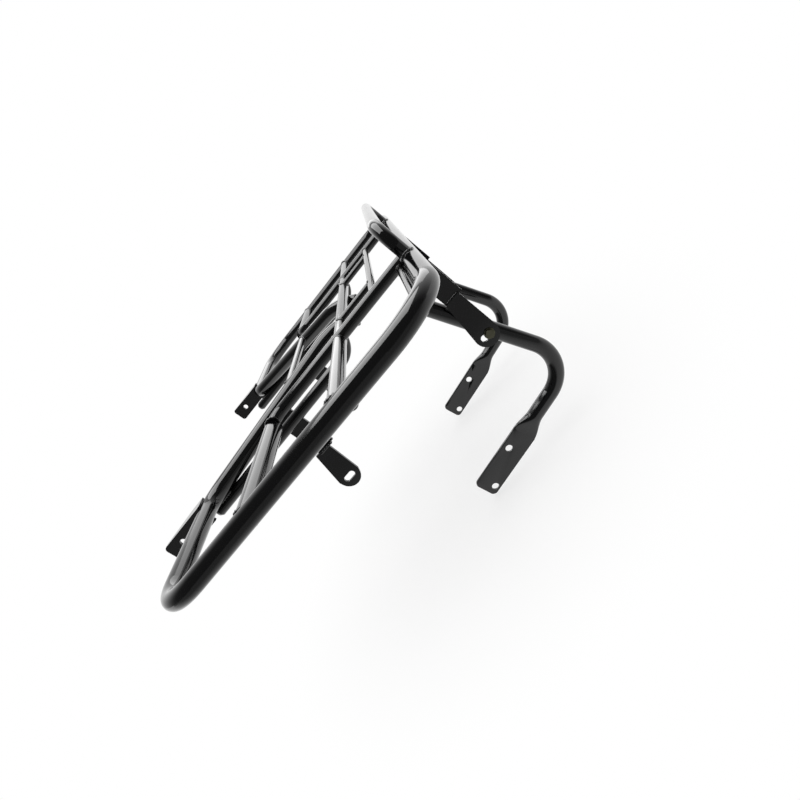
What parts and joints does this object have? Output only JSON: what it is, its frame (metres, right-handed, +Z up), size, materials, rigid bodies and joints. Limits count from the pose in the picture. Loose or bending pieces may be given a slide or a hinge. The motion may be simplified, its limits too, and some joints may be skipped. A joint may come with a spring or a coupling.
{
  "type": "quad bike rear rack",
  "caption": "Welded tubular steel rear cargo rack for a quad bike, with a recessed front, a low rear hoop, slotted brackets and bent support legs.",
  "frame": {"origin": "middle of the deck, on the centre height of the outer tubes, half-way between the front and rear tubes", "axes": "+X to the vehicle's left, +Y to its rear, +Z up"},
  "size_m": [1.0394, 0.5842, 0.4412],
  "materials": {
    "black_paint": "gloss",
    "zinc": "satin"
  },
  "bodies": {
    "root": {"main_loop": "black_paint", "left_recess_arm": "black_paint", "right_recess_arm": "black_paint", "left_inner_loop": "black_paint", "right_inner_loop": "black_paint", "left_front_side_tube": "black_paint", "right_front_side_tube": "black_paint", "left_rear_side_rod": "black_paint", "right_rear_side_rod": "black_paint", "cross_tube_centre": "black_paint", "left_cross_tube": "black_paint", "right_cross_tube": "black_paint", "rear_cross_rod": "black_paint", "left_short_rod": "black_paint", "right_short_rod": "black_paint", "recess_cross_rod": "black_paint", "hoop": "black_paint", "left_under_tube": "black_paint", "right_under_tube": "black_paint", "left_front_tab": "black_paint", "right_front_tab": "black_paint", "left_front_post": "black_paint", "right_front_post": "black_paint", "left_front_slotted_plate": "black_paint", "right_front_slotted_plate": "black_paint", "left_rear_post": "black_paint", "right_rear_post": "black_paint", "left_rear_slotted_plate": "black_paint", "right_rear_slotted_plate": "black_paint", "left_leg": "black_paint", "right_leg": "black_paint", "left_foot": "black_paint", "right_foot": "black_paint", "left_leg_bolt": "zinc", "right_leg_bolt": "zinc", "left_leg_washer": "zinc", "right_leg_washer": "zinc", "left_leg_nut": "zinc", "right_leg_nut": "zinc"}
  },
  "joints": []
}
